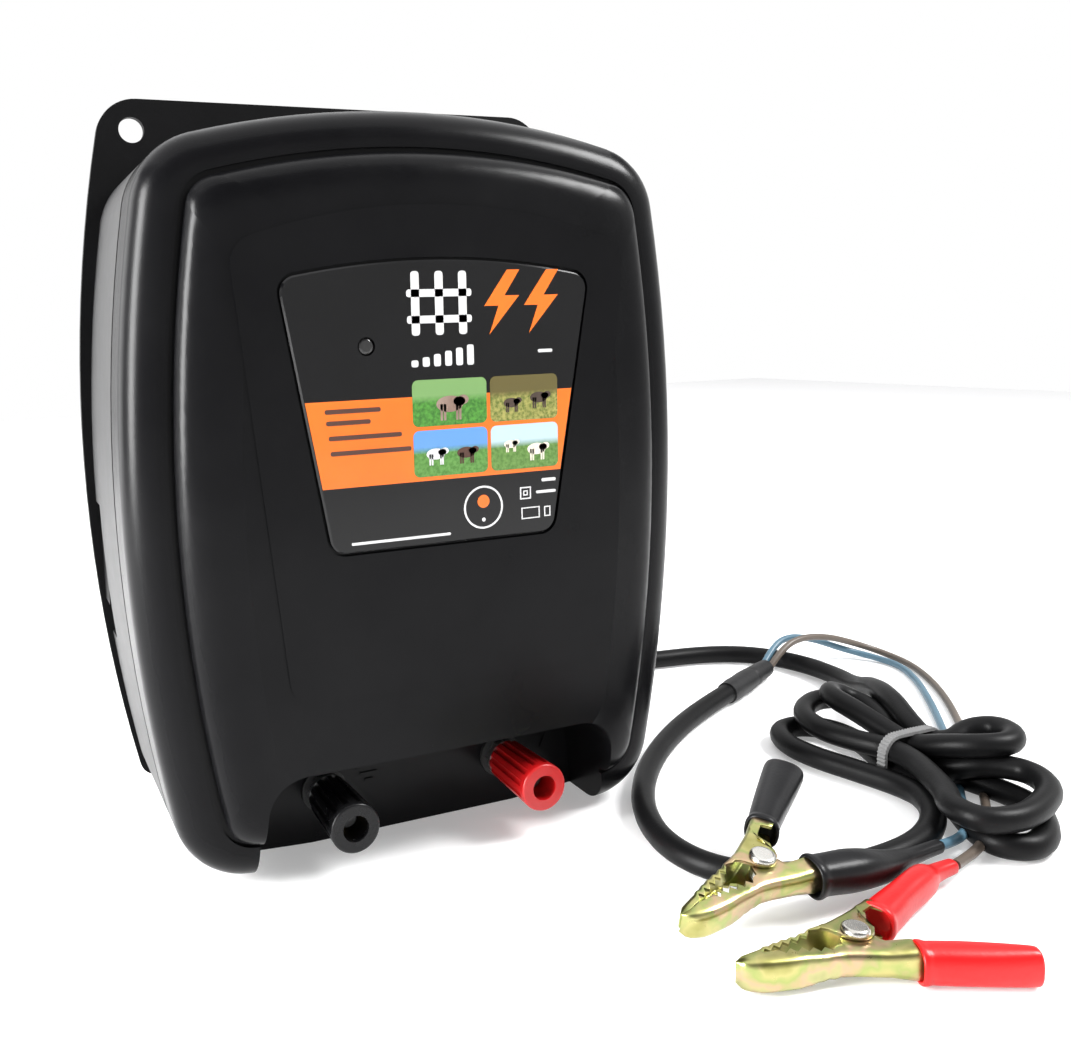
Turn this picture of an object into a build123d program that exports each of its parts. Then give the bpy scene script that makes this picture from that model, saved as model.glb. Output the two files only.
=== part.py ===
from build123d import *

import os
from math import cos, degrees, pi, radians, sin, tan

# Battery fence energizer: a wall-hung case with two screw terminals and a battery lead with two clips.
# The case stands on its underside. Origin: bottom centre of the case and bracket. The front faces -Y,
# the wall bracket is at +Y and +Z is up. Millimetres.

# ---- case ----
HALF_WIDTH = 92.5
SIDE_RADIUS = 498.5
SIDE_CENTRE_Z = 119.0
TOP_Z = 230.7
TOP_RADIUS = 277.0
BOTTOM_Z = -1.0
BOTTOM_RADIUS = 680.0
CORNER_RADIUS = 23.5
WALL = 3.0

# Depths are measured forwards (towards -Y) from the rear face of the housing.
BRACKET_THICKNESS = 3.0
TOTAL_DEPTH = 91.0
REAR_Y = TOTAL_DEPTH / 2 - BRACKET_THICKNESS
SEAM_DEPTH = 53.3
SEAM_GAP = 2.0
RIM_DEPTH = 78.0
RIM_FILLET = 11.0
GROOVE_OUTER = 12.0
GROOVE_INNER = 13.7
GROOVE_FLOOR_DEPTH = 76.5
FACE_DEPTH = 87.0
FACE_SHOULDER = 17.3
FACE_RISE = 7.5
PANEL_DEPTH = 87.4
FRONT_DEPTH = TOTAL_DEPTH - BRACKET_THICKNESS

# ---- terminal bay ----
BAY_HALF_TOP = 57.5
BAY_HALF_BOTTOM = 62.5
BAY_TOP_Z = 36.6
BAY_CORNER = 12.0
BAY_WALL = 2.5
BAY_BACK_DEPTH = 56.0

# ---- label and indicator ----
LABEL_GAP = 0.8
LABEL_SEAT_DEPTH = 86.0
LED_X = -24.2
LED_Z = 160.9
LIGHT_PIPE_RADIUS = 2.6

# ---- terminals ----
TERMINAL_X = 32.3
TERMINAL_Z = 17.5
STUD_RADIUS = 3.0
RUNNING_GAP = 0.05
KNOB_RADIUS = 7.8
KNOB_BASE_RADIUS = 6.9
KNOB_MOUTH_RADIUS = 4.1
KNOB_REAR_DEPTH = 61.4
KNOB_FRONT_DEPTH = 87.0
KNOB_FLUTES = 12

# ---- wall bracket ----
BRACKET_HALF_WIDTH = 95.2
BRACKET_SIDE_RADIUS = 525.0
BRACKET_SIDE_CENTRE_Z = 128.0
BRACKET_TOP_Z = 245.3
BRACKET_BOTTOM_Z = 9.0
BRACKET_CORNER = 14.0
HANG_HOLE_X = 72.8
HANG_HOLE_Z = 235.0
HANG_HOLE_RADIUS = 4.25
NOTCH_LOW_Z = 64.5
NOTCH_HIGH_Z = 110.5
NOTCH_DEPTH = 12.0
NOTCH_INNER_X = 84.0
TAB_LOW_Z = 76.0
TAB_HIGH_Z = 100.0

# ---- case screws, at (x, z) ----
CASE_SCREW_PLACES = [(74, 204), (-74, 204), (81.5, 127), (-81.5, 127), (73, 22), (-73, 22)]
SCREW_RADIUS = 1.9
SCREW_HEAD_RADIUS = 3.6

# ---- lead exit ----
LEAD_RADIUS = 4.0
CORE_RADIUS = 1.5
GLAND_X = 50.0
GLAND_Z = 13.0
POCKET_HALF_WIDTH = 14.0
POCKET_TOP_Z = 26.0
POCKET_DEPTH = 22.0
GLAND_END_DEPTH = -2.0


# ---- helpers ----
def plane_at(depth):
    """Plane facing the front at a depth, with x across and y up."""
    return Plane(origin=(0, REAR_Y - depth, 0), x_dir=(1, 0, 0), z_dir=(0, -1, 0))


def block(face, depth_from, depth_to):
    """A face drawn in (x, z), extruded between two depths."""
    return extrude(plane_at(depth_from) * face, depth_to - depth_from)


def drum(x, z, radius, depth_from, depth_to):
    """A round bar along the depth direction."""
    return block(Pos(x, z) * Circle(radius), depth_from, depth_to)


def cuboid(x_from, x_to, depth_from, depth_to, z_from, z_to):
    """A box from its limits in x, depth and z."""
    middle = (x_from + x_to) / 2, REAR_Y - (depth_from + depth_to) / 2, (z_from + z_to) / 2
    return Pos(*middle) * Box(abs(x_to - x_from), abs(depth_to - depth_from), abs(z_to - z_from))


def barrel(inset=0.0, corner=0.0):
    """Barrel-shaped outline of the case, offset inwards: four wide arcs with rounded corners."""
    reach = SIDE_RADIUS - inset
    outline = Pos(HALF_WIDTH - SIDE_RADIUS, SIDE_CENTRE_Z) * Circle(reach)
    outline &= Pos(SIDE_RADIUS - HALF_WIDTH, SIDE_CENTRE_Z) * Circle(reach)
    outline &= Pos(0, TOP_Z - TOP_RADIUS) * Circle(TOP_RADIUS - inset)
    outline &= Pos(0, BOTTOM_Z + BOTTOM_RADIUS) * Circle(BOTTOM_RADIUS - inset)
    return fillet(outline.vertices(), corner or max(CORNER_RADIUS - inset, 6.0))


def keep_above_floor(shape):
    """Trim the curved underside to the flat that the case stands on."""
    return shape - Pos(0, 0, -50) * Box(400, 400, 100)


def bay_outline(grow=0.0):
    """The arch of the terminal bay, open at the bottom."""
    top = BAY_TOP_Z + grow
    points = [
        (-BAY_HALF_BOTTOM - grow, -20),
        (-BAY_HALF_TOP - grow, top),
        (BAY_HALF_TOP + grow, top),
        (BAY_HALF_BOTTOM + grow, -20),
    ]
    face = make_face(Polyline(*points, close=True))
    return fillet(face.vertices().group_by(Axis.Y)[-1], BAY_CORNER + grow)


def trapezoid(half_top, half_bottom, shoulder_z, apex_z, bottom_z, corner):
    """A panel outline: arched top, sides that draw in downwards, rounded corners."""
    outline = [
        ThreePointArc((-half_top, shoulder_z), (0, apex_z), (half_top, shoulder_z)),
        Line((half_top, shoulder_z), (half_bottom, bottom_z)),
        Line((half_bottom, bottom_z), (-half_bottom, bottom_z)),
        Line((-half_bottom, bottom_z), (-half_top, shoulder_z)),
    ]
    face = make_face(Wire(outline))
    return fillet(face.vertices(), corner)


# ---- case ----
def make_wall_bracket():
    """Flat plate behind the case with two hanging holes and a snap tab each side."""
    reach = BRACKET_SIDE_RADIUS - BRACKET_HALF_WIDTH
    sides = Pos(-reach, BRACKET_SIDE_CENTRE_Z) * Circle(BRACKET_SIDE_RADIUS)
    sides &= Pos(reach, BRACKET_SIDE_CENTRE_Z) * Circle(BRACKET_SIDE_RADIUS)
    height = BRACKET_TOP_Z - BRACKET_BOTTOM_Z
    sides &= Pos(0, BRACKET_BOTTOM_Z + height / 2) * Rectangle(300, height)
    sides = fillet(sides.vertices().group_by(Axis.Y)[-1], BRACKET_CORNER)
    sides = fillet(sides.vertices().group_by(Axis.Y)[0], 6)
    plate = block(sides, -BRACKET_THICKNESS, 0)
    for side in (-1, 1):
        plate -= drum(side * HANG_HOLE_X, HANG_HOLE_Z, HANG_HOLE_RADIUS, -BRACKET_THICKNESS - 1, 1)
        tab = cuboid(side * 88.5, side * 91.0, -1, 9.5, TAB_LOW_Z, TAB_HIGH_Z)
        barb = cuboid(side * 86.7, side * 91.0, 9.5, 11.3, TAB_LOW_Z, TAB_HIGH_Z)
        plate += tab + barb
    lead_slot = Pos(GLAND_X, 10) * Rectangle(2 * POCKET_HALF_WIDTH, 32)
    return plate - block(lead_slot, -BRACKET_THICKNESS - 1, 1)


def make_rear_housing():
    """Deep tray behind the seam, with screw bosses, board posts, side notches and the lead pocket."""
    front = SEAM_DEPTH - SEAM_GAP / 2
    shell = block(barrel(), 0, front)
    shell = fillet(shell.faces().sort_by(Axis.Y)[-1].edges(), 2.5)
    inside = block(barrel(WALL), WALL, front + 1)
    outline = block(barrel(0.5), 0.5, front)
    body = shell - inside
    for x, z in CASE_SCREW_PLACES:
        body += drum(x, z, 5.0, 1, front - 1.5)
    for x, z in BOARD_POST_PLACES:
        body += drum(x, z, 3.5, 1, BOARD_DEPTH)
    for side in (-1, 1):
        lining = cuboid(side * (NOTCH_INNER_X - WALL), side * 100, 0, NOTCH_DEPTH + WALL, 61.5, 113.5)
        body += lining & outline
    pocket_lining = cuboid(
        GLAND_X - POCKET_HALF_WIDTH - WALL, GLAND_X + POCKET_HALF_WIDTH + WALL,
        0, POCKET_DEPTH + WALL, -5, POCKET_TOP_Z + WALL,
    )
    body += pocket_lining & outline
    for x, z in CASE_SCREW_PLACES:
        body -= drum(x, z, SCREW_RADIUS + 0.3, -1, front + 1)
        body -= drum(x, z, SCREW_HEAD_RADIUS + 0.4, -1, 4)
    for x, z in BOARD_POST_PLACES:
        body -= drum(x, z, BOARD_SCREW_RADIUS, BOARD_DEPTH - 9, BOARD_DEPTH + 1)
    for side in (-1, 1):
        body -= cuboid(side * NOTCH_INNER_X, side * 100, -1, NOTCH_DEPTH, NOTCH_LOW_Z, NOTCH_HIGH_Z)
    body -= cuboid(
        GLAND_X - POCKET_HALF_WIDTH, GLAND_X + POCKET_HALF_WIDTH, -1, POCKET_DEPTH, -5, POCKET_TOP_Z
    )
    body -= drum(GLAND_X, GLAND_Z, 7.0, POCKET_DEPTH - 1, POCKET_DEPTH + WALL + 1)
    return keep_above_floor(body)


def make_housing_seal():
    """Rubber cord seal that fills the seam, set back from the outside to leave a dark groove."""
    ring = barrel(1.4) - barrel(WALL)
    return keep_above_floor(block(ring, SEAM_DEPTH - SEAM_GAP / 2, SEAM_DEPTH + SEAM_GAP / 2))


def face_shoulder():
    """The raised front face: a loft whose edge rounds over from the groove to the flat."""
    sections = []
    for angle in (0, 30, 60, 90):
        inset = GROOVE_INNER + FACE_SHOULDER * (1 - cos(radians(angle)))
        depth = FACE_DEPTH - FACE_RISE * (1 - sin(radians(angle)))
        corner = CORNER_RADIUS - GROOVE_INNER + angle / 90 * 8
        sections.append(plane_at(depth) * barrel(inset, corner))
    return loft(sections)


def make_front_cover():
    """Rim, groove and raised face in one moulding, with the terminal bay cut into its lower edge."""
    back = SEAM_DEPTH + SEAM_GAP / 2
    rim = block(barrel(), back, RIM_DEPTH)
    rim = fillet(rim.faces().sort_by(Axis.Y)[0].edges(), RIM_FILLET)
    rim -= block(barrel(GROOVE_OUTER), GROOVE_FLOOR_DEPTH, RIM_DEPTH + 1)
    panel = block(panel_outline(), 80, PANEL_DEPTH)
    face = block(barrel(GROOVE_INNER), 70, FACE_DEPTH - FACE_RISE) + face_shoulder() + panel
    outside = rim + face

    hollow = block(barrel(WALL), back - 1, 64)
    hollow += block(barrel(7.5), 60, 71)
    hollow += block(barrel(18), 60, 80)
    hollow += block(barrel(30), 60, FACE_DEPTH - WALL)
    body = outside - hollow

    bay_shell = block(bay_outline(BAY_WALL), back, 90) & outside
    body += bay_shell
    for x, z in CASE_SCREW_PLACES:
        body += drum(x, z, 5.0, back, 70) & outside
    body -= block(bay_outline(), BAY_BACK_DEPTH, 95)
    body -= block(label_outline(LABEL_GAP), LABEL_SEAT_DEPTH, 95)
    body -= drum(LED_X, LED_Z, LIGHT_PIPE_RADIUS + 0.05, 70, 95)
    for side in (-1, 1):
        body -= drum(side * TERMINAL_X, TERMINAL_Z, STUD_RADIUS + 0.2, back - 1, BAY_BACK_DEPTH + 1)
    for x, z in CASE_SCREW_PLACES:
        body -= drum(x, z, SCREW_RADIUS, back - 1, 67.5)
    body += earth_symbol() + fence_symbol()
    return keep_above_floor(body)


def panel_outline():
    """Outline of the slightly raised area around the label."""
    return trapezoid(63.0, 50.0, 190.0, 201.2, 57.6, 8.5)


def label_outline(grow=0.0):
    """Outline of the label panel, optionally grown on all sides."""
    return trapezoid(49.8 + grow, 36.3 + grow, 180.2 + grow, 185.3 + grow, 101.5 - grow, 5.0 + grow)


def raised_bars(bars):
    """Raised strokes on the back wall of the terminal bay, each (x, z, width, height, turn)."""
    strokes = Part()
    for x, z, width, height, turn in bars:
        stroke = Pos(x, z) * Rot(0, 0, turn) * Rectangle(width, height)
        strokes += block(stroke, BAY_BACK_DEPTH - 0.5, BAY_BACK_DEPTH + 0.6)
    return strokes


def earth_symbol():
    """The usual earth symbol beside the earth terminal."""
    x = -16.5
    return raised_bars([(x, 26.8, 1, 8, 0), (x, 22.3, 9, 1, 0), (x, 20.0, 6, 1, 0), (x, 17.7, 3, 1, 0)])


def fence_symbol():
    """A zigzag beside the fence terminal."""
    x = 50.0
    return raised_bars([(x, 26.5, 1, 7, -25), (x, 23.3, 5, 1, 0), (x, 20.2, 1, 7, -25)])


def make_label_panel():
    """Glossy label plate with bevelled edges, set in its recess."""
    plate = block(label_outline(), LABEL_SEAT_DEPTH, FRONT_DEPTH)
    plate = chamfer(plate.faces().sort_by(Axis.Y)[0].edges(), 0.5)
    return plate - drum(LED_X, LED_Z, LIGHT_PIPE_RADIUS + 0.05, 70, 95)


def make_light_pipe():
    """Clear domed rod that brings the indicator's light to the front."""
    rod = drum(LED_X, LED_Z, LIGHT_PIPE_RADIUS, 74, FRONT_DEPTH)
    rod = fillet(rod.faces().sort_by(Axis.Y)[0].edges(), 1.2)
    return rod + drum(LED_X, LED_Z, 3.6, 73, 75)


def make_case_screws():
    """Six long screws from the rear, through the housing into the cover."""
    screws = []
    for x, z in CASE_SCREW_PLACES:
        screw = drum(x, z, SCREW_RADIUS, 3, 67) + drum(x, z, SCREW_HEAD_RADIUS, 1, 4)
        slot = block(Pos(x, z) * Rectangle(5, 1), 0, 2)
        screws.append(screw - slot - block(Pos(x, z) * Rectangle(1, 5), 0, 2))
    return Compound(children=screws)


# ---- electronics ----
BOARD_DEPTH = 46.0
BOARD_THICKNESS = 1.6
BOARD_LOW_Z = 96.0
BOARD_HIGH_Z = 196.0
BOARD_HALF_WIDTH = 62.0
BOARD_SCREW_RADIUS = 1.4
BOARD_POST_PLACES = [(57, 101), (-57, 101), (57, 191), (-57, 191)]
CORE_X = -22.0
CORE_Z = 62.0
FOOT_SCREW_X = 34.0


def make_circuit_board():
    """Board on four posts, component side facing the front."""
    board = block(
        Pos(0, (BOARD_LOW_Z + BOARD_HIGH_Z) / 2)
        * RectangleRounded(2 * BOARD_HALF_WIDTH, BOARD_HIGH_Z - BOARD_LOW_Z, 3),
        BOARD_DEPTH, BOARD_DEPTH + BOARD_THICKNESS,
    )
    for x, z in BOARD_POST_PLACES:
        board -= drum(x, z, 1.6, BOARD_DEPTH - 1, BOARD_DEPTH + 3)
    return board


def make_board_screws():
    """Four pan-head screws that hold the board on its posts."""
    front = BOARD_DEPTH + BOARD_THICKNESS
    screws = []
    for x, z in BOARD_POST_PLACES:
        screws.append(drum(x, z, BOARD_SCREW_RADIUS, BOARD_DEPTH - 8, front) + drum(x, z, 2.8, front, front + 2))
    return Compound(children=screws)


def make_indicator_led():
    """Round lamp standing on the board behind the light pipe."""
    front = BOARD_DEPTH + BOARD_THICKNESS
    lamp = drum(LED_X, LED_Z, 2.5, 64, 72)
    lamp = fillet(lamp.faces().sort_by(Axis.Y)[0].edges(), 2.4)
    lamp += drum(LED_X, LED_Z, 2.9, 64, 65)
    for side in (-1.27, 1.27):
        lamp += drum(LED_X + side, LED_Z, 0.3, front, 64.5)
    return lamp


def make_storage_capacitor():
    """Large pulse capacitor lying across the board."""
    start = BOARD_DEPTH + BOARD_THICKNESS
    can = cuboid(8, 52, start, start + 24, 112, 138)
    return fillet(can.edges().filter_by(Axis.X), 3)


def make_supply_capacitor():
    """Smaller round capacitor standing on the board."""
    start = BOARD_DEPTH + BOARD_THICKNESS
    can = drum(-40, 124, 9, start, start + 26)
    return fillet(can.faces().sort_by(Axis.Y)[0].edges(), 1)


def make_discharge_switch():
    """Power switching device that dumps the capacitor into the transformer."""
    start = BOARD_DEPTH + BOARD_THICKNESS
    body = cuboid(22, 32, start + 5, start + 9.5, 160, 175)
    body += cuboid(22, 32, start + 7.5, start + 9.5, 175, 181)
    for x in (24.5, 27, 29.5):
        body += cuboid(x - 0.4, x + 0.4, start + 6.8, start + 7.6, 150, 160)
        body += cuboid(x - 0.4, x + 0.4, start, start + 7.6, 149.2, 150)
    return body


def make_heat_sink():
    """Finned aluminium block behind the switching device."""
    start = BOARD_DEPTH + BOARD_THICKNESS
    sink = cuboid(16, 38, start + 9.5, start + 12, 156, 184)
    for k in range(5):
        x = 17 + 4.75 * k
        sink += cuboid(x - 0.6, x + 0.6, start + 12, start + 19, 156, 184)
    return sink


def make_transformer_core():
    """Laminated core of the output transformer: two windows around the winding, mounting feet."""
    core = cuboid(CORE_X - 30, CORE_X + 30, 12, 34, CORE_Z - 25, CORE_Z + 25)
    for side in (-1, 1):
        middle = CORE_X + side * 15
        core -= cuboid(middle - 5, middle + 5, 11, 35, CORE_Z - 15, CORE_Z + 15)
        ear = cuboid(CORE_X + side * 28, CORE_X + side * 38, WALL, 6, CORE_Z - 9, CORE_Z + 9)
        ear += cuboid(CORE_X + side * 28, CORE_X + side * 30, WALL, 14, CORE_Z - 9, CORE_Z + 9)
        ear -= drum(CORE_X + side * FOOT_SCREW_X, CORE_Z, 1.9, 0, 10)
        core += ear
    return core


def make_transformer_winding():
    """Winding around the centre leg, standing proud of the core front and back."""
    coil = cuboid(CORE_X - 19.5, CORE_X + 19.5, 5, 41, CORE_Z - 14.5, CORE_Z + 14.5)
    coil = fillet(coil.edges().filter_by(Axis.Z), 5)
    return coil - cuboid(CORE_X - 10.1, CORE_X + 10.1, 11.9, 34.1, CORE_Z - 20, CORE_Z + 20)


def make_transformer_screws():
    """Two screws through the core's feet into the housing."""
    screws = []
    for side in (-1, 1):
        x = CORE_X + side * FOOT_SCREW_X
        screws.append(drum(x, CORE_Z, 1.8, WALL, 6) + drum(x, CORE_Z, 3.2, 6, 8))
    return Compound(children=screws)


# ---- terminals ----
def hexagon_nut(x, across_flats, depth_from, depth_to, bore):
    """Hexagon nut on a terminal's axis."""
    hexagon = Pos(x, TERMINAL_Z) * RegularPolygon(across_flats / 2, 6, major_radius=False)
    return block(hexagon, depth_from, depth_to) - drum(x, TERMINAL_Z, bore, depth_from - 1, depth_to + 1)


def washer(x, radius, depth_from, depth_to, bore):
    """Flat washer on a terminal's axis."""
    ring = drum(x, TERMINAL_Z, radius, depth_from, depth_to)
    return ring - drum(x, TERMINAL_Z, bore, depth_from - 1, depth_to + 1)


def make_stud(x):
    """Terminal stud through the bay's back wall."""
    stud = drum(x, TERMINAL_Z, STUD_RADIUS, 40, 80)
    return chamfer(stud.faces().sort_by(Axis.Y)[0].edges(), 0.6)


def make_stud_seal(x):
    """Rubber ring that seals the stud against the bay's back wall."""
    return washer(x, 7.5, BAY_BACK_DEPTH, 57.2, STUD_RADIUS)


def make_stud_nut(x):
    """Thin nut that clamps the stud from the front."""
    return hexagon_nut(x, 10.0, 57.2, 60.2, STUD_RADIUS)


def make_inner_nut(x):
    """Nut and solder tag inside the case."""
    back = SEAM_DEPTH + SEAM_GAP / 2
    tag = washer(x, 5.5, back - 1, back, STUD_RADIUS)
    tag += cuboid(x - 2, x + 2, back - 1, back, TERMINAL_Z + 4.5, TERMINAL_Z + 13)
    return tag + hexagon_nut(x, 10.0, back - 6, back - 1, STUD_RADIUS)


def make_clamp_washer(x):
    """Captive washer that the knob presses on the fence wire."""
    return washer(x, 6.6, 60.2, KNOB_REAR_DEPTH, STUD_RADIUS + RUNNING_GAP)


def make_knob(x):
    """Fluted knob, a little wider at the front, with a deep round mouth."""
    length = KNOB_FRONT_DEPTH - KNOB_REAR_DEPTH
    rear = plane_at(KNOB_REAR_DEPTH) * Pos(x, TERMINAL_Z) * Circle(KNOB_BASE_RADIUS)
    front = plane_at(KNOB_FRONT_DEPTH) * Pos(x, TERMINAL_Z) * Circle(KNOB_RADIUS)
    knob = loft([rear, front])
    knob = fillet(knob.faces().sort_by(Axis.Y)[0].edges(), 0.8)
    knob = fillet(knob.faces().sort_by(Axis.Y)[-1].edges(), 1.2)
    for k in range(KNOB_FLUTES):
        angle = 2 * pi * (k + 0.5) / KNOB_FLUTES
        rear_spot = (KNOB_BASE_RADIUS + 0.35, 0)
        front_spot = (KNOB_RADIUS + 0.35, 0)
        flute = loft([
            plane_at(KNOB_REAR_DEPTH - 1) * Pos(x, TERMINAL_Z) * Rot(0, 0, degrees(angle)) * Pos(*rear_spot)
            * Circle(1.1),
            plane_at(KNOB_FRONT_DEPTH - 2.2) * Pos(x, TERMINAL_Z) * Rot(0, 0, degrees(angle))
            * Pos(*front_spot) * Circle(1.1),
        ])
        knob -= flute
    knob -= drum(x, TERMINAL_Z, KNOB_MOUTH_RADIUS, 75, KNOB_FRONT_DEPTH + 1)
    return knob - drum(x, TERMINAL_Z, 4.6, KNOB_REAR_DEPTH - 1, 75) - drum(
        x, TERMINAL_Z, STUD_RADIUS + 0.5, 60, 80
    )


def make_knob_insert(x):
    """Brass threaded insert moulded into the knob."""
    sleeve = drum(x, TERMINAL_Z, 4.6, KNOB_REAR_DEPTH, 75)
    return sleeve - drum(x, TERMINAL_Z, STUD_RADIUS + RUNNING_GAP, 60, 80)


# ---- battery lead ----
def make_cable_gland():
    """Rubber strain relief: a flange each side of the pocket wall and a tapered tail."""
    wall_front = POCKET_DEPTH + WALL
    gland = drum(GLAND_X, GLAND_Z, 9.0, POCKET_DEPTH - 2, POCKET_DEPTH)
    gland += drum(GLAND_X, GLAND_Z, 7.0, POCKET_DEPTH, wall_front)
    gland += drum(GLAND_X, GLAND_Z, 9.0, wall_front, wall_front + 2)
    tail_start = plane_at(POCKET_DEPTH - 2) * Pos(GLAND_X, GLAND_Z) * Circle(7.0)
    tail_end = plane_at(GLAND_END_DEPTH) * Pos(GLAND_X, GLAND_Z) * Circle(4.9)
    return gland + loft([tail_start, tail_end])


def corner_radii(points):
    """Arc radius at each inner point: as large as its two runs allow."""
    radii = []
    for before, here, after in zip(points, points[1:], points[2:]):
        run_in = Vector(*here) - Vector(*before)
        run_out = Vector(*after) - Vector(*here)
        turn = radians(run_in.get_angle(run_out))
        radii.append(0.45 * min(run_in.length, run_out.length) / tan(turn / 2))
    return radii


def make_tube(name, points, radius):
    """A free cord's tube: straight runs joined by tangent arcs."""
    radii = corner_radii(points)
    path = FilletPolyline(*points, radius=radii)
    start = Plane(origin=path @ 0, z_dir=path % 0)
    tube = sweep(start * Circle(radius), path=path)
    expected = pi * radius**2 * path.length
    print(name, "length", round(path.length, 1), "volume ratio", round(tube.volume / expected, 4))
    print("   radii", [round(r, 1) for r in radii])
    return tube


LEAD_EXIT = (GLAND_X, REAR_Y - GLAND_END_DEPTH, GLAND_Z)
LEAD_TO_HANK = [
    LEAD_EXIT, (50, 62, 13), (54, 79, 8), (70, 92, 4.6), (96, 95, 4.2), (128, 89, 4.2), (162, 81, 4.2),
    (192, 77, 4.2), (212, 66, 4.2), (222, 47, 4.3), (222, 24, 5), (211, 1, 7), (198, -20, 11), (184, -42, 15),
]
LEAD_FROM_HANK = [
    (158, -76, 4.6), (152.5, -88, 4.3), (142, -96.8, 4.1), (129.5, -102.2, 4), (116, -104.6, 4.1),
    (102, -104.6, 4), (87, -102.8, 4.1), (73, -97.6, 4), (63, -87, 4.1), (60.2, -72, 4), (64, -56, 4.1),
    (74, -38, 4), (92, -17.5, 4), (118, 3, 4), (146, 19, 4.3), (164, 26.5, 5),
]
SPLICE_START = (164, 26.5, 5)
SPLICE_MIDDLE = (186, 37.5, 5)
SPLICE_END = (202, 45.5, 5)
BLUE_CORE = [
    (201.2, 46.8, 5.0), (212, 51.8, 12.8), (225, 54.5, 14.6), (240, 54.5, 10.6), (254, 51.5, 4.8), (264, 43, 2.0),
    (266, 28, 1.6), (256, 10, 1.5), (242, -8, 1.6), (226, -27, 1.5), (205, -50, 1.6), (186, -69, 1.5),
    (168, -86, 1.8), (154, -99.5, 2.6), (142, -106.2, 4.2), (131.1, -108.7, 6.0),
]
BROWN_CORE = [
    (202.8, 44.2, 5.0), (213, 46.6, 12.9), (226, 48.4, 15.4), (242, 49.4, 13.2), (257, 49.6, 8.4), (270, 45, 3.4),
    (272, 28, 1.6), (262, 8, 1.5), (248, -12, 1.6), (231, -32, 1.5), (210, -55, 1.6), (190, -75, 1.5),
    (172, -92, 1.9), (157, -104, 2.4), (142, -112.6, 3.4), (126.6, -117.8, 5.3),
]


def make_lead_hank():
    """Outer shape of the tied hank, lifted on its near side where the cores pass under it."""
    outline = Spline(
        (150, -36), (146, -20), (158, -11), (176, -11), (190, -20), (188, -40), (182, -56), (190, -68),
        (197, -82), (192, -102), (180, -118), (160, -124), (142, -117), (134, -100), (138, -84), (150, -68),
        (154, -54), periodic=True,
    )
    hank = extrude(make_face(outline), HANK_HEIGHT)
    passage = Pos(178, -78, 2.6) * Rot(0, 0, 42) * Box(150, 22, 5.2)
    exit_room = Pos(130, -110, 8) * Rot(0, 0, 35) * Box(60, 26, 16)
    return hank - passage - exit_room


HANK_HEIGHT = 22.0


def make_hank_tie():
    """Ribbed tie pulled tight around the middle of the hank."""
    outer = Pos(168, -61, 11.7) * Box(38, 3.6, 23.2)
    inner = Pos(168, -61, 11.5) * Box(34, 5, 21.4)
    outer = fillet(outer.edges().filter_by(Axis.Y), 4)
    return outer - inner


def sleeve(start, end, radius, end_radius):
    """A solid sleeve between two points."""
    axis = Vector(*end) - Vector(*start)
    first = Plane(origin=start, z_dir=axis) * Circle(radius)
    last = Plane(origin=end, z_dir=axis) * Circle(end_radius)
    return loft([first, last])


# ---- battery clips ----
# A clip is drawn about its pivot, lying in its own x-z plane: x towards the handles, z from the lower
# to the upper handle, y along the rivet. On the ground it lies on its side.
SHEET = 0.9
RIVET_RADIUS = 1.75
RIVET_HEAD_RADIUS = 3.65
RIVET_HALF_LENGTH = 4.7
LOWER_PLAN = [(-32.5, 2.4), (-31, 4.0), (-27, 4.5), (-16, 4.4), (-10, 3.5), (6.5, 3.5), (10, 4.2), (60, 4.2)]
UPPER_PLAN = [(-32.3, 2.0), (-30, 3.0), (-15, 3.3), (-9, 4.6), (60, 4.6)]
LOWER_BACK = [(-32.4, -11.2), (-31.6, -13.2), (-29, -14.5), (-24.5, -14.6), (-17.5, -13.0), (-8.5, -9.8)]
LOWER_HANDLE = {"start": -4.5, "end": 30.0, "top": -2.4, "bottom": -8.8}
UPPER_BACK = [(-32, -10.2), (-30.4, -8.3), (-24.2, -4.9), (-18.4, -1.6), (-13, 0.6), (-8.8, 2.8)]
UPPER_BACK += [(-4.8, 5.4), (-0.6, 8.7), (2.2, 11.0)]
UPPER_HANDLE_START = (4.4, 13.2)
UPPER_HANDLE_ANGLE = 44.0
UPPER_HANDLE_LENGTH = 24.0
UPPER_HANDLE_HEIGHT = 6.4
TEETH = 6
TOOTH_DEPTH = 1.7
LOWER_SAW = (-6.2, -4.9, -3.05, -0.78)
UPPER_SAW = (-25.4, -8.6, 2.55, 1.4)


def saw_edge(row, height):
    """Points of a row of teeth, given by its start and step; each tooth stands up or down by height."""
    x, z, step_x, step_z = row
    points = []
    for k in range(TEETH):
        points.append((x + k * step_x, z + k * step_z))
        points.append((x + (k + 0.5) * step_x, z + (k + 0.5) * step_z + height))
    return points


def side_slab(points, half_width):
    """A side profile in (x, z), extruded both ways to a half width."""
    return extrude(make_face(Plane.XZ * Polyline(*points, close=True)), half_width, both=True)


def plan_block(plan, shrink=0.0):
    """A tall block with a clip's plan outline, optionally one sheet thickness smaller all round."""
    half = [(x + shrink if x < 0 else x, y - shrink) for x, y in plan]
    outline = half + [(x, -y) for x, y in reversed(half)]
    return Pos(0, 0, -50) * extrude(make_face(Polyline(*outline, close=True)), 100)


def channel(profile, hollow, plan):
    """A pressed-steel channel: a side profile within a plan outline, hollowed by one sheet thickness."""
    outer = side_slab(profile, 10) & plan_block(plan)
    channel_body = outer - (side_slab(hollow, 10) & plan_block(plan, SHEET))
    return channel_body - Rot(90, 0, 0) * Cylinder(RIVET_RADIUS + RUNNING_GAP, 40)


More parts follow.
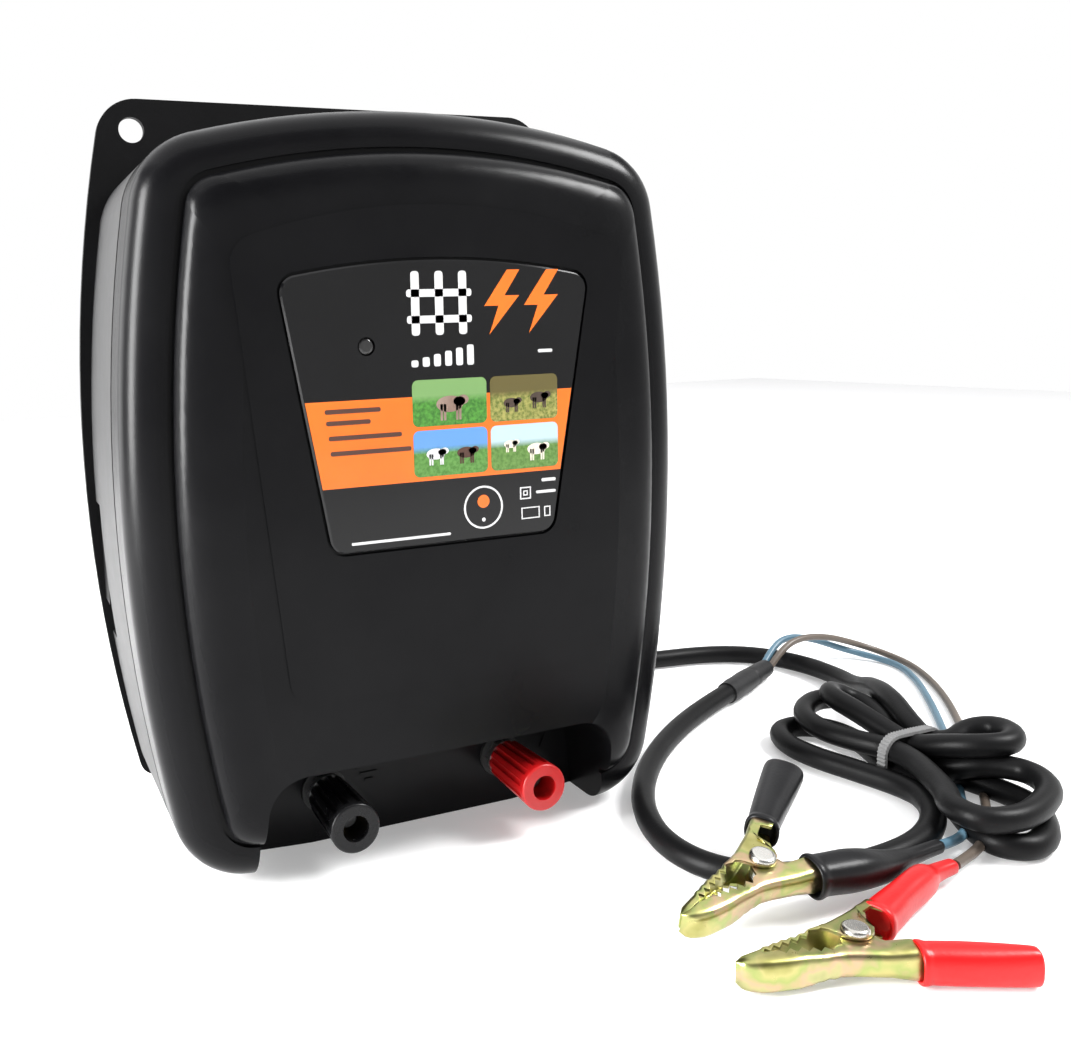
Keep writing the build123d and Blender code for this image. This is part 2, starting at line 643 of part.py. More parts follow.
def make_lower_jaw():
    """Lower jaw and handle, with the inner pair of pivot ears."""
    end = LOWER_HANDLE["end"]
    back = LOWER_BACK + [(LOWER_HANDLE["start"], LOWER_HANDLE["bottom"]), (end, LOWER_HANDLE["bottom"])]
    ear = [(end, LOWER_HANDLE["top"]), (5.8, LOWER_HANDLE["top"]), (4.6, 0.4), (2.8, 2.6), (0, 3.4)]
    ear += [(-2.6, 2.4), (-4.0, 0), (-4.8, -4.3)]
    tip = [(-26.6, -10.3), (-29, -11.4)]
    hollow = [(x + 0.2, z + SHEET) for x, z in back[1:]]
    hollow += [(end + 1, 20), (-31.2, 20)]
    return channel(back + ear + saw_edge(LOWER_SAW, -TOOTH_DEPTH) + tip, hollow, LOWER_PLAN)


def upper_point(distance, drop=0.0):
    """Point at a distance along the upper handle's back and a drop below it, in (x, z)."""
    angle = radians(UPPER_HANDLE_ANGLE)
    x = UPPER_HANDLE_START[0] + distance * cos(angle) + drop * sin(angle)
    z = UPPER_HANDLE_START[1] + distance * sin(angle) - drop * cos(angle)
    return x, z


def make_upper_jaw():
    """Upper jaw and handle, which swing, with the outer pair of pivot ears."""
    handle = [upper_point(0), upper_point(UPPER_HANDLE_LENGTH)]
    handle += [upper_point(UPPER_HANDLE_LENGTH, UPPER_HANDLE_HEIGHT), upper_point(3, UPPER_HANDLE_HEIGHT)]
    handle += [upper_point(2, 3.2), upper_point(-3.6, 3.2)]
    ear = [(4.9, 5.4), (5.3, 1.4), (4.1, -1.3), (1.4, -3.0), (-1.8, -2.9), (-4.6, -0.9), (-6.4, 0.6)]
    ear += [(-8.4, 1.2), (-10.1, -0.2)]
    tip = [(-26.6, -9.2), (-29.2, -10.6)]
    profile = UPPER_BACK + handle + ear + list(reversed(saw_edge(UPPER_SAW, TOOTH_DEPTH))) + tip
    hollow = [(x + 0.55, z - SHEET) for x, z in UPPER_BACK]
    hollow += [upper_point(0, SHEET), upper_point(UPPER_HANDLE_LENGTH + 2, SHEET), (60, -30), (-31.2, -30)]
    return channel(profile, hollow, UPPER_PLAN)


def make_rivet():
    """Pivot rivet: a domed head on one side and a thin flat one on the other."""
    shank = Cylinder(RIVET_RADIUS, 2 * RIVET_HALF_LENGTH)
    dome = Pos(0, 0, RIVET_HALF_LENGTH + 0.65) * Cylinder(RIVET_HEAD_RADIUS, 1.3)
    dome = fillet(dome.faces().sort_by(Axis.Z)[-1].edges(), 1.2)
    flat_head = Pos(0, 0, -RIVET_HALF_LENGTH - 0.2) * Cylinder(RIVET_HEAD_RADIUS, 0.4)
    return Rot(90, 0, 0) * (shank + dome + flat_head)


def make_spring():
    """Torsion spring around the rivet: its coils and the leg that bears on the lower handle."""
    bore = Rot(90, 0, 0) * Cylinder(RIVET_RADIUS + 0.3, 8)
    coils = Rot(90, 0, 0) * Cylinder(2.9, 4.4)
    leg = Pos(6.5, 0, -3.0) * Rot(0, 94, 0) * Cylinder(0.5, 10)
    return coils + leg - bore


def soft_boot(stations):
    """Moulded boot lofted through stations: place in (x, z), rise in degrees, width along y, height, y."""
    sections = []
    for (x, z), rise, width, height, y in stations:
        lift = radians(rise)
        frame = Plane(origin=(x, y, z), x_dir=(0, 1, 0), z_dir=(cos(lift), 0, sin(lift)))
        sections.append(frame * RectangleRounded(width, height, 0.36 * min(width, height)))
    return loft(sections)


def lower_room():
    """Space that the lower handle takes inside its boot."""
    end = LOWER_HANDLE["end"]
    corners = [(6, LOWER_HANDLE["bottom"]), (end, LOWER_HANDLE["bottom"])]
    corners += [(end, LOWER_HANDLE["top"]), (6, LOWER_HANDLE["top"])]
    return side_slab(corners, 10) & plan_block(LOWER_PLAN)


def upper_room():
    """Space that the upper handle takes inside its boot."""
    corners = [upper_point(0), upper_point(UPPER_HANDLE_LENGTH)]
    corners += [upper_point(UPPER_HANDLE_LENGTH, UPPER_HANDLE_HEIGHT), upper_point(0, UPPER_HANDLE_HEIGHT)]
    return side_slab(corners, 10) & plan_block(UPPER_PLAN)


def make_lower_end_boot():
    """Plain boot on the lower handle, flattened at its closed end."""
    boot = soft_boot([
        ((13.2, -6.0), 0, 10.2, 9.6, 0), ((22, -6.0), 0, 10.2, 9.6, 0),
        ((33, -6.2), 0, 10.2, 8.8, 0), ((41.5, -6.5), 0, 10.0, 6.6, 0),
    ])
    return boot - lower_room()


def make_upper_end_boot():
    """Plain boot on the upper handle, flattened at its closed end."""
    boot = soft_boot([
        (upper_point(4.5, 3.5), 44, 10.6, 9.6, 0), (upper_point(14, 3.3), 44, 10.6, 9.8, 0),
        (upper_point(27, 3.4), 43, 11.0, 9.0, 0), (upper_point(38.5, 3.2), 42, 11.4, 6.6, 0),
    ])
    return boot - upper_room()


def make_upper_wire_boot():
    """Boot on the upper handle that narrows past a shoulder to a neck around the core."""
    boot = soft_boot([
        (upper_point(2.0, 4.5), 46, 10.2, 10.2, 0), (upper_point(12, 4.0), 46, 10.0, 9.4, 0),
        (upper_point(24, 3.4), 46, 9.8, 8.2, 0), ((29.0, 32.6), 46, 9.4, 8.2, 0), ((33.4, 36.6), 38, 6.6, 6.2, 0),
    ])
    neck = soft_boot([
        ((33.4, 36.6), 38, 5.0, 4.8, 0), ((37.6, 39.6), 32, 4.4, 4.4, 0), ((41.8, 42.0), 26, 4.2, 4.2, 0),
    ])
    return boot - upper_room() + neck


def make_lower_wire_boot():
    """Boot on the lower handle that narrows past a shoulder to a neck around the core."""
    boot = soft_boot([
        ((12.2, -5.7), 0, 11.2, 11.2, 0), ((14.4, -5.7), 0, 10.6, 10.6, 0), ((24, -5.8), 0, 11.0, 11.0, 0.4),
        ((31, -5.7), 2, 10.4, 10.0, 0.9), ((40, -4.2), 14, 8.0, 8.0, 3.3), ((50, -1.2), 16, 5.8, 5.6, 5.3),
    ])
    neck = soft_boot([
        ((50, -1.2), 16, 4.6, 4.4, 5.3), ((58, 0.7), 14, 4.1, 4.1, 6.3), ((66, 2.3), 12, 4.0, 4.0, 7.0),
    ])
    return boot - lower_room() + neck


RED_CLIP = Pos(69.1, -136.4, 5.25) * Rot(0, 0, -27.0) * Rot(-90, 0, 0)
BLACK_CLIP = Pos(64.8, -106.6, 12.3) * Rot(0, 0, -5.25) * Rot(-76.8, 0, 0)


def clip_parts(colour, place, wire_on_upper):
    """All the pieces of one battery clip, in place."""
    if wire_on_upper:
        boots = {"wire_boot": make_upper_wire_boot(), "end_boot": make_lower_end_boot()}
    else:
        boots = {"wire_boot": make_lower_wire_boot(), "end_boot": make_upper_end_boot()}
    pieces = {
        "lower_jaw": make_lower_jaw(),
        "upper_jaw": make_upper_jaw(),
        "rivet": make_rivet(),
        "spring": make_spring(),
    }
    pieces.update(boots)
    return {f"{colour}_clip_{name}": place * shape for name, shape in pieces.items()}


def build_all():
    """Every node by name."""
    nodes = {
        "wall_bracket": make_wall_bracket(),
        "rear_housing": make_rear_housing(),
        "housing_seal": make_housing_seal(),
        "front_cover": make_front_cover(),
        "label_panel": make_label_panel(),
        "light_pipe": make_light_pipe(),
        "case_screws": make_case_screws(),
        "circuit_board": make_circuit_board(),
        "board_screws": make_board_screws(),
        "indicator_led": make_indicator_led(),
        "storage_capacitor": make_storage_capacitor(),
        "supply_capacitor": make_supply_capacitor(),
        "discharge_switch": make_discharge_switch(),
        "heat_sink": make_heat_sink(),
        "transformer_core": make_transformer_core(),
        "transformer_winding": make_transformer_winding(),
        "transformer_screws": make_transformer_screws(),
        "cable_gland": make_cable_gland(),
        "lead_to_hank": make_tube("lead_to_hank", LEAD_TO_HANK, LEAD_RADIUS),
        "lead_hank": make_lead_hank(),
        "hank_tie": make_hank_tie(),
        "lead_from_hank": make_tube("lead_from_hank", LEAD_FROM_HANK, LEAD_RADIUS),
        "splice_sleeve_wide": sleeve(SPLICE_START, SPLICE_MIDDLE, 5.0, 5.0),
        "splice_sleeve_narrow": sleeve(SPLICE_MIDDLE, SPLICE_END, 4.4, 4.0),
        "blue_core": make_tube("blue_core", BLUE_CORE, CORE_RADIUS),
        "brown_core": make_tube("brown_core", BROWN_CORE, CORE_RADIUS),
    }
    for name, x in (("earth", -TERMINAL_X), ("fence", TERMINAL_X)):
        nodes[f"{name}_stud"] = make_stud(x)
        nodes[f"{name}_stud_seal"] = make_stud_seal(x)
        nodes[f"{name}_stud_nut"] = make_stud_nut(x)
        nodes[f"{name}_inner_nut"] = make_inner_nut(x)
        nodes[f"{name}_clamp_washer"] = make_clamp_washer(x)
        nodes[f"{name}_knob"] = make_knob(x)
        nodes[f"{name}_knob_insert"] = make_knob_insert(x)
    nodes.update(clip_parts("black", BLACK_CLIP, wire_on_upper=False))
    nodes.update(clip_parts("red", RED_CLIP, wire_on_upper=True))
    return nodes


os.makedirs("parts", exist_ok=True)
for node_name, node_shape in build_all().items():
    export_step(node_shape, f"parts/{node_name}.step")
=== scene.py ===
"""Fence energizer with its battery lead and clips: materials, cords and detailed pieces."""
import math

import bmesh
import bpy
from mathutils import Matrix, Vector


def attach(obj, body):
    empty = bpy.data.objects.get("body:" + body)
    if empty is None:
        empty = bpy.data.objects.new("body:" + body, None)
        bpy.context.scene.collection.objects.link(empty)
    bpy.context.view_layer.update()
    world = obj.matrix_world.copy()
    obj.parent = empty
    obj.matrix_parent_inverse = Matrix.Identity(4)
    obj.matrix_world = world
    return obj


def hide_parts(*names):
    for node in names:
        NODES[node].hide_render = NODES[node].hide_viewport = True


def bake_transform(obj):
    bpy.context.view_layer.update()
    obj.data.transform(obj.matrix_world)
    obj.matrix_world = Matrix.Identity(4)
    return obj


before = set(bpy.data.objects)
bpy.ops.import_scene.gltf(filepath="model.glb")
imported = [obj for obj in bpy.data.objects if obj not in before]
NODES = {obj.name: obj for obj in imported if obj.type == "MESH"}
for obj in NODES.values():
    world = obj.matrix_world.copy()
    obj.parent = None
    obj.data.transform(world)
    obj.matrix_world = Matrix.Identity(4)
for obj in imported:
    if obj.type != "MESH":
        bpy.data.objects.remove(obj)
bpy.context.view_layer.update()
MM = 0.001


def link(obj):
    """Adds an object to the scene and returns it."""
    bpy.context.scene.collection.objects.link(obj)
    return obj


# ---- camera, floor and light ----
def add_camera():
    """Camera at the photograph's angle."""
    place = Vector((-0.1306, -0.3263, 0.1655))
    yaw, pitch, roll = 0.379, -0.120, -0.032
    forward = Vector((math.sin(yaw) * math.cos(pitch), math.cos(yaw) * math.cos(pitch), math.sin(pitch)))
    right = Vector((math.cos(yaw), -math.sin(yaw), 0))
    up = right.cross(forward)
    rolled_right = right * math.cos(roll) + up * math.sin(roll)
    rolled_up = up * math.cos(roll) - right * math.sin(roll)
    camera_data = bpy.data.cameras.new("camera")
    camera_data.sensor_width = 36.0
    camera_data.sensor_fit = "HORIZONTAL"
    camera_data.lens = 35.245
    camera_data.shift_x = 0.1381
    camera_data.shift_y = -0.0703
    camera_data.clip_start = 0.01
    camera = link(bpy.data.objects.new("camera", camera_data))
    turned = Matrix((rolled_right, rolled_up, -forward)).transposed().to_4x4()
    camera.matrix_world = Matrix.Translation(place) @ turned
    bpy.context.scene.camera = camera


def add_light(name, place, size, power, aim):
    """A soft area light aimed at a point."""
    data = bpy.data.lights.new(name, "AREA")
    data.shape = "RECTANGLE"
    data.size, data.size_y = size
    data.energy = power
    lamp = link(bpy.data.objects.new(name, data))
    lamp.location = place
    lamp.rotation_euler = (Vector(aim) - Vector(place)).to_track_quat("-Z", "Y").to_euler()


def add_studio():
    """Pale floor, soft lights, and world light that is white to just above the horizon and dim overhead."""
    bpy.ops.mesh.primitive_plane_add(size=3.6, location=(0.1, 0.2, 0))
    floor = bpy.context.object
    floor.name = "floor"
    paper = plain("floor_paper", (0.78, 0.78, 0.78), 0.9, Emission_Color=(1, 1, 1, 1), Emission_Strength=0.3)
    floor.data.materials.append(paper)
    world = bpy.data.worlds.new("studio")
    world.use_nodes = True
    tree = world.node_tree
    background = tree.nodes["Background"]
    direction = tree.nodes.new("ShaderNodeTexCoord")
    parts = tree.nodes.new("ShaderNodeSeparateXYZ")
    tree.links.new(direction.outputs["Generated"], parts.inputs["Vector"])
    white = (1.0, 1.0, 1.0)
    sky = [(0.0, white), (0.34, white), (0.50, (0.20, 0.20, 0.21)), (1.0, (0.12, 0.12, 0.13))]
    tree.links.new(ramp(tree, parts.outputs["Z"], sky), background.inputs["Color"])
    bpy.context.scene.world = world
    bpy.context.scene.view_settings.view_transform = "Standard"
    add_light("top", (0.1, 0.9, 1.9), (3.4, 3.6), 56, (0.08, 0.7, 0.0))
    add_light("left", (-0.95, -0.05, 0.34), (0.30, 0.66), 30, (-0.05, 0, 0.12))
    add_light("side", (-0.75, 0.75, 0.35), (0.5, 0.8), 3.5, (-0.08, 0, 0.12))
    add_light("crown", (0.75, -0.35, 0.85), (0.35, 0.35), 16, (0.06, -0.03, 0.2))


# ---- materials ----
def new_material(name):
    """A node material, its tree and its shader."""
    material = bpy.data.materials.new(name)
    material.use_nodes = True
    tree = material.node_tree
    return material, tree, tree.nodes["Principled BSDF"]


def set_shader(shader, **values):
    """Sets the shader's own sockets; underscores stand for spaces."""
    for key, value in values.items():
        shader.inputs[key.replace("_", " ")].default_value = value


def plain(name, colour, roughness, **extra):
    """A uniform material, for the floor."""
    material, tree, shader = new_material(name)
    set_shader(shader, Base_Color=(*colour, 1), Roughness=roughness, **extra)
    return material


def noise(tree, scale, detail=3.0, roughness=0.5):
    """Noise in object space; returns its factor output."""
    coordinates = tree.nodes.new("ShaderNodeTexCoord")
    texture = tree.nodes.new("ShaderNodeTexNoise")
    texture.inputs["Scale"].default_value = scale
    texture.inputs["Detail"].default_value = detail
    texture.inputs["Roughness"].default_value = roughness
    tree.links.new(coordinates.outputs["Object"], texture.inputs["Vector"])
    return texture.outputs["Fac"]


def ramp(tree, factor, stops):
    """Colour ramp from (position, colour) stops."""
    node = tree.nodes.new("ShaderNodeValToRGB")
    elements = node.color_ramp.elements
    while len(elements) < len(stops):
        elements.new(0.5)
    for element, (position, colour) in zip(elements, stops):
        element.position = position
        element.color = (*colour, 1)
    tree.links.new(factor, node.inputs["Fac"])
    return node.outputs["Color"]


def spread(tree, factor, low, high):
    """Maps a 0 to 1 factor to low to high."""
    node = tree.nodes.new("ShaderNodeMapRange")
    node.inputs["To Min"].default_value = low
    node.inputs["To Max"].default_value = high
    tree.links.new(factor, node.inputs["Value"])
    return node.outputs["Result"]


def add_bump(tree, shader, height, strength, distance):
    """Bump from a height output."""
    node = tree.nodes.new("ShaderNodeBump")
    node.inputs["Strength"].default_value = strength
    node.inputs["Distance"].default_value = distance
    tree.links.new(height, node.inputs["Height"])
    tree.links.new(node.outputs["Normal"], shader.inputs["Normal"])


def moulded(name, dark, light, roughness, grain_scale, grain, wear=0.05, **extra):
    """Moulded plastic, rubber or paint: slight colour variation, grain and uneven gloss."""
    material, tree, shader = new_material(name)
    set_shader(shader, **extra)
    broad = noise(tree, 38.0, 4.0)
    fine = noise(tree, grain_scale, 2.0)
    tree.links.new(ramp(tree, broad, [(0.25, dark), (0.8, light)]), shader.inputs["Base Color"])
    gloss = spread(tree, noise(tree, 95.0, 5.0, 0.65), roughness - wear, roughness + wear)
    tree.links.new(gloss, shader.inputs["Roughness"])
    add_bump(tree, shader, fine, grain, 0.0002)
    return material


def ink(name, dark, light, roughness=0.2):
    """Smooth printed ink."""
    return moulded(name, dark, light, roughness, 300, 0.02, 0.03)


def picture(name, dark, light, above):
    """Small printed landscape: mottled ground below a far band of colour."""
    material, tree, shader = new_material(name)
    coordinates = tree.nodes.new("ShaderNodeTexCoord")
    parts = tree.nodes.new("ShaderNodeSeparateXYZ")
    tree.links.new(coordinates.outputs["Generated"], parts.inputs["Vector"])
    ground = ramp(tree, noise(tree, 900.0, 4.0), [(0.35, dark), (0.65, light)])
    step = ramp(tree, parts.outputs["Z"], [(0.50, (0, 0, 0)), (0.66, (1, 1, 1))])
    mix = tree.nodes.new("ShaderNodeMixRGB")
    mix.inputs["Color2"].default_value = (*above, 1)
    tree.links.new(step, mix.inputs["Fac"])
    tree.links.new(ground, mix.inputs["Color1"])
    tree.links.new(mix.outputs["Color"], shader.inputs["Base Color"])
    set_shader(shader, Roughness=0.18)
    return material


def metal(name, stops, roughness, scale=60.0, grain=0.05):
    """Bare or plated metal with colour drift and fine marks."""
    material, tree, shader = new_material(name)
    set_shader(shader, Metallic=1.0)
    tree.links.new(ramp(tree, noise(tree, scale, 3.0), stops), shader.inputs["Base Color"])
    gloss = spread(tree, noise(tree, 420.0, 3.0, 0.6), roughness * 0.7, roughness * 1.4)
    tree.links.new(gloss, shader.inputs["Roughness"])
    add_bump(tree, shader, noise(tree, 900.0, 2.0), grain, 0.0001)
    return material


def make_materials():
    """Every material, by name."""
    return {
        "case": moulded("case_black_abs", (0.0025, 0.0025, 0.003), (0.005, 0.005, 0.0055), 0.25, 2600, 0.08,
                        Specular_IOR_Level=0.10),
        "housing": moulded("housing_black_abs", (0.004, 0.004, 0.0045), (0.008, 0.008, 0.0085), 0.42, 2200,
                           0.10, Specular_IOR_Level=0.6),
        "bracket": moulded("bracket_black", (0.002, 0.002, 0.0022), (0.004, 0.004, 0.0045), 0.5, 1500, 0.2,
                           Specular_IOR_Level=0.1),
        "label": moulded("label_gloss", (0.0020, 0.0020, 0.0022), (0.0035, 0.0035, 0.004), 0.09, 300,
                         0.02, 0.02, Specular_IOR_Level=0.3),
        "seal": moulded("seal_rubber", (0.01, 0.01, 0.01), (0.02, 0.02, 0.02), 0.7, 900, 0.2),
        "rubber": moulded("cable_rubber", (0.002, 0.002, 0.0022), (0.005, 0.005, 0.0053), 0.42, 1300,
                          0.25, 0.08, Specular_IOR_Level=0.13),
        "sleeve": moulded("heat_shrink", (0.006, 0.006, 0.0065), (0.014, 0.014, 0.015), 0.48, 800,
                          0.3, 0.08, Specular_IOR_Level=0.3),
        "blue": moulded("blue_core_pvc", (0.055, 0.12, 0.17), (0.085, 0.17, 0.23), 0.38, 900, 0.15),
        "brown": moulded("brown_core_pvc", (0.075, 0.058, 0.045), (0.12, 0.095, 0.075), 0.40, 900, 0.15),
        "red_boot": moulded("red_boot_pvc", (0.44, 0.004, 0.005), (0.56, 0.007, 0.008), 0.34, 700, 0.25,
                            Specular_IOR_Level=0.35, Subsurface_Weight=0.05,
                            Subsurface_Radius=(0.004, 0.001, 0.001), Subsurface_Scale=0.5),
        "black_boot": moulded("black_boot_pvc", (0.004, 0.004, 0.0045), (0.010, 0.010, 0.011), 0.34, 700,
                              0.25, Specular_IOR_Level=0.18),
        "knob_red": moulded("knob_red_nylon", (0.34, 0.004, 0.005), (0.46, 0.007, 0.008), 0.32, 1100, 0.12),
        "knob_black": moulded("knob_black_nylon", (0.003, 0.003, 0.0035), (0.006, 0.006, 0.0065), 0.28, 1100,
                              0.12, Specular_IOR_Level=0.2),
        "tie": moulded("tie_grey_nylon", (0.10, 0.10, 0.10), (0.20, 0.20, 0.20), 0.5, 800, 0.2),
        "lens": moulded("lens_smoked", (0.010, 0.010, 0.010), (0.018, 0.018, 0.018), 0.12, 400, 0.05, 0.03),
        "orange_ink": ink("orange_ink", (0.70, 0.125, 0.006), (0.80, 0.16, 0.010), 0.16),
        "white_ink": ink("white_ink", (0.56, 0.56, 0.56), (0.66, 0.66, 0.66)),
        "dark_ink": ink("dark_ink", (0.05, 0.02, 0.01), (0.08, 0.03, 0.02)),
        "horse": ink("picture_chestnut", (0.12, 0.05, 0.03), (0.45, 0.36, 0.30)),
        "boar": ink("picture_dark_brown", (0.02, 0.014, 0.010), (0.08, 0.05, 0.035)),
        "sheep": ink("picture_cream", (0.55, 0.50, 0.38), (0.75, 0.70, 0.58)),
        "meadow": picture("picture_meadow", (0.03, 0.13, 0.015), (0.07, 0.26, 0.03), (0.16, 0.30, 0.10)),
        "wood": picture("picture_wood", (0.10, 0.13, 0.02), (0.32, 0.30, 0.08), (0.10, 0.08, 0.02)),
        "pasture": picture("picture_pasture", (0.05, 0.16, 0.02), (0.10, 0.26, 0.05), (0.10, 0.26, 0.60)),
        "hill": picture("picture_hill", (0.06, 0.15, 0.02), (0.12, 0.24, 0.05), (0.42, 0.55, 0.62)),
        "board": moulded("board_fibreglass", (0.01, 0.10, 0.04), (0.02, 0.16, 0.06), 0.45, 900, 0.2),
        "film": moulded("capacitor_film", (0.05, 0.14, 0.30), (0.07, 0.18, 0.36), 0.3, 500, 0.1),
        "steel": metal("zinc_steel", [(0.3, (0.55, 0.56, 0.57)), (0.7, (0.72, 0.72, 0.71))], 0.30),
        "rivet": metal("rivet_nickel", [(0.3, (0.46, 0.44, 0.40)), (0.7, (0.64, 0.63, 0.60))], 0.24,
                       grain=0.02),
        "blackened": metal("blackened_steel", [(0.3, (0.05, 0.05, 0.05)), (0.7, (0.10, 0.10, 0.10))], 0.42),
        "brass": metal("turned_brass", [(0.3, (0.70, 0.50, 0.20)), (0.7, (0.85, 0.66, 0.33))], 0.28),
        "copper": metal("winding_copper", [(0.3, (0.60, 0.26, 0.12)), (0.7, (0.78, 0.38, 0.20))], 0.32),
        "passivated": metal(
            "yellow_zinc",
            [(0.30, (0.30, 0.29, 0.09)), (0.42, (0.46, 0.42, 0.17)), (0.50, (0.33, 0.38, 0.13)),
             (0.57, (0.50, 0.35, 0.22)), (0.62, (0.42, 0.40, 0.19)), (0.74, (0.27, 0.30, 0.12))],
            0.30, 75.0, 0.1,
        ),
    }


MATERIALS = make_materials()


def paint(obj, material):
    """Gives an object one material."""
    obj.data.materials.clear()
    obj.data.materials.append(MATERIALS[material])
    return obj


def smooth(obj, degrees):
    """Smooth shading, with edges sharper than an angle kept crisp."""
    for polygon in obj.data.polygons:
        polygon.use_smooth = True
    obj.data.set_sharp_from_angle(angle=math.radians(degrees))
    return obj


def stand_for(piece, body, *nodes):
    """Puts a piece on its body, in place of CAD nodes."""
    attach(piece, body)
    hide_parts(*nodes)
    return piece


# ---- cords ----
LEAD_DIAMETER = 0.008
CORE_DIAMETER = 0.003


def cord_curve(name, points, diameter, material):
    """A smooth cord: one NURBS spline with the route's points, in millimetres, as control points."""
    curve = bpy.data.curves.new(name, "CURVE")
    curve.dimensions = "3D"
    curve.bevel_depth = diameter / 2
    curve.bevel_resolution = 6
    curve.resolution_u = 10
    curve.use_fill_caps = True
    spline = curve.splines.new("NURBS")
    spline.points.add(len(points) - 1)
    for point, place in zip(spline.points, points):
        point.co = (place[0] * MM, place[1] * MM, place[2] * MM, 1)
    spline.order_u = 3
    spline.use_endpoint_u = True
    obj = link(bpy.data.objects.new(name, curve))
    curve.materials.append(MATERIALS[material])
    return obj


def drawn_mesh(obj):
    """A new mesh of an object as it is drawn."""
    bpy.context.view_layer.update()
    return bpy.data.meshes.new_from_object(obj.evaluated_get(bpy.context.evaluated_depsgraph_get()))


def line_points(obj):
    """Points along a cord's own line, from a copy without its thickness."""
    line = obj.data.copy()
    line.bevel_depth = 0
    twin = link(bpy.data.objects.new("line", line))
    mesh = drawn_mesh(twin)
    places = [v.co.copy() for v in mesh.vertices]
    bpy.data.objects.remove(twin)
    bpy.data.meshes.remove(mesh)
    return places


def as_tube(curve_object):
    """The same cord as a mesh tube."""
    mesh = drawn_mesh(curve_object)
    name = curve_object.name
    bpy.data.objects.remove(curve_object)
    mesh.name = name
    return link(bpy.data.objects.new(name, mesh))


# Routes of the cords in millimetres. The lead runs from the gland to the hank, makes three turns there and
# goes on to the splice. Each turn has a lobe on either side of the tie: the camera sees them right and left.
LEAD_TO_HANK = [
    (50, 44.5, 13), (50, 62, 13), (54, 79, 8), (70, 92, 4.6), (96, 95, 4.2), (128, 89, 4.2), (162, 81, 4.2),
    (192, 77, 4.2), (212, 66, 4.2), (222, 47, 4.3), (222, 24, 5), (212, 2, 8), (201, -17, 16),
    (190, -36, 19), (183, -50, 16),
]
FIRST_RIGHT = [
    (180, -61, 12.6), (184, -68, 14), (192, -68, 17.5), (198, -74, 19.5), (196, -83, 20), (187, -88, 20),
    (178, -84, 19.5), (173, -74, 17), (172, -62, 12.4),
]
FIRST_LEFT = [
    (171, -50, 15), (170, -38, 18), (170, -26, 19.5), (177, -18, 18.5), (186, -20, 14.5), (188, -30, 12.4),
    (183, -42, 12), (176, -51, 8),
]
SECOND_RIGHT = [
    (172, -62, 4.3), (174, -72, 7), (178, -80, 11), (184, -86, 12.4), (189, -95, 12.4), (183, -106, 12.4),
    (169, -113, 12.4), (155, -116, 12.4), (144, -112, 12.4), (144, -101, 12.4), (151, -94, 12.5),
    (157, -83, 12.5), (162, -73, 12.4),
]
SECOND_LEFT = [
    (164, -61, 12.4), (159, -48, 12), (156, -36, 12), (159, -24, 12), (167, -15, 12), (179, -10, 12),
    (191, -15, 12), (195, -29, 9), (190, -45, 6),
]
THIRD_RIGHT = [
    (180, -61, 4.3), (181, -75, 4.2), (184, -89, 4.2), (183, -101, 4.2), (175, -110, 4.2), (166, -117, 4.2),
    (156, -119, 4.2), (149, -112, 4.2), (153, -101, 4.2), (160, -90, 4.2), (166, -77, 4.2),
]
THIRD_LEFT = [
    (164, -61, 4.3), (170, -48, 4.3), (175, -35, 4.3), (174, -21, 4.3), (165, -13, 4.3), (154, -15, 4.3),
    (148, -27, 4.3), (149, -41, 4.3), (153, -54, 4.3),
]
LEAD_FROM_HANK = [
    (158, -76, 4.6), (152.5, -88, 4.3), (142, -96.8, 4.1), (129.5, -102.2, 4), (116, -104.6, 4.1),
    (102, -104.6, 4), (87, -102.8, 4.1), (73, -97.6, 4), (63, -87, 4.1), (60.2, -72, 4), (64, -56, 4.1),
    (74, -38, 4), (92, -17.5, 4), (118, 3, 4), (146, 19, 4.3), (164, 26.5, 5),
]
BLUE_CORE = [
    (201.2, 46.8, 5.0), (212, 51.8, 12.8), (225, 54.5, 14.6), (240, 54.5, 10.6), (254, 51.5, 4.8),
    (264, 43, 2.0), (266, 28, 1.6), (256, 10, 1.5), (242, -8, 1.6), (226, -27, 1.5), (205, -50, 1.6),
    (186, -69, 1.5), (168, -86, 1.8), (154, -99.5, 2.6), (142, -106.2, 4.2), (131.1, -108.7, 6.0),
]
BROWN_CORE = [
    (202.8, 44.2, 5.0), (213, 46.6, 12.9), (226, 48.4, 15.4), (242, 49.4, 13.2), (257, 49.6, 8.4),
    (270, 45, 3.4), (272, 28, 1.6), (262, 8, 1.5), (248, -12, 1.6), (231, -32, 1.5), (210, -55, 1.6),
    (190, -75, 1.5), (172, -92, 1.9), (157, -104, 2.4), (142, -112.6, 3.4), (126.6, -117.8, 5.3),
]


# ---- mesh helpers ----
def mesh_piece(name, verts, faces, material, place=None):
    """A mesh object from points, in millimetres, optionally moved by a matrix."""
    mesh = bpy.data.meshes.new(name)
    points = [Vector(v) * MM for v in verts]
    if place is not None:
        points = [place @ point for point in points]
    mesh.from_pydata([tuple(point) for point in points], [], faces)
    mesh.update()
    work = bmesh.new()
    work.from_mesh(mesh)
    bmesh.ops.recalc_face_normals(work, faces=work.faces)
    work.to_mesh(mesh)
    work.free()
    return paint(link(bpy.data.objects.new(name, mesh)), material)


def ring_faces(ring_count, size, first=0, closed=True):
    """Quads that join successive rings of the same size."""
    faces = []
    for r in range(ring_count - 1):
        a, b = first + r * size, first + (r + 1) * size
        for k in range(size if closed else size - 1):
            n = (k + 1) % size
            faces.append((a + k, a + n, b + n, b + k))
    return faces


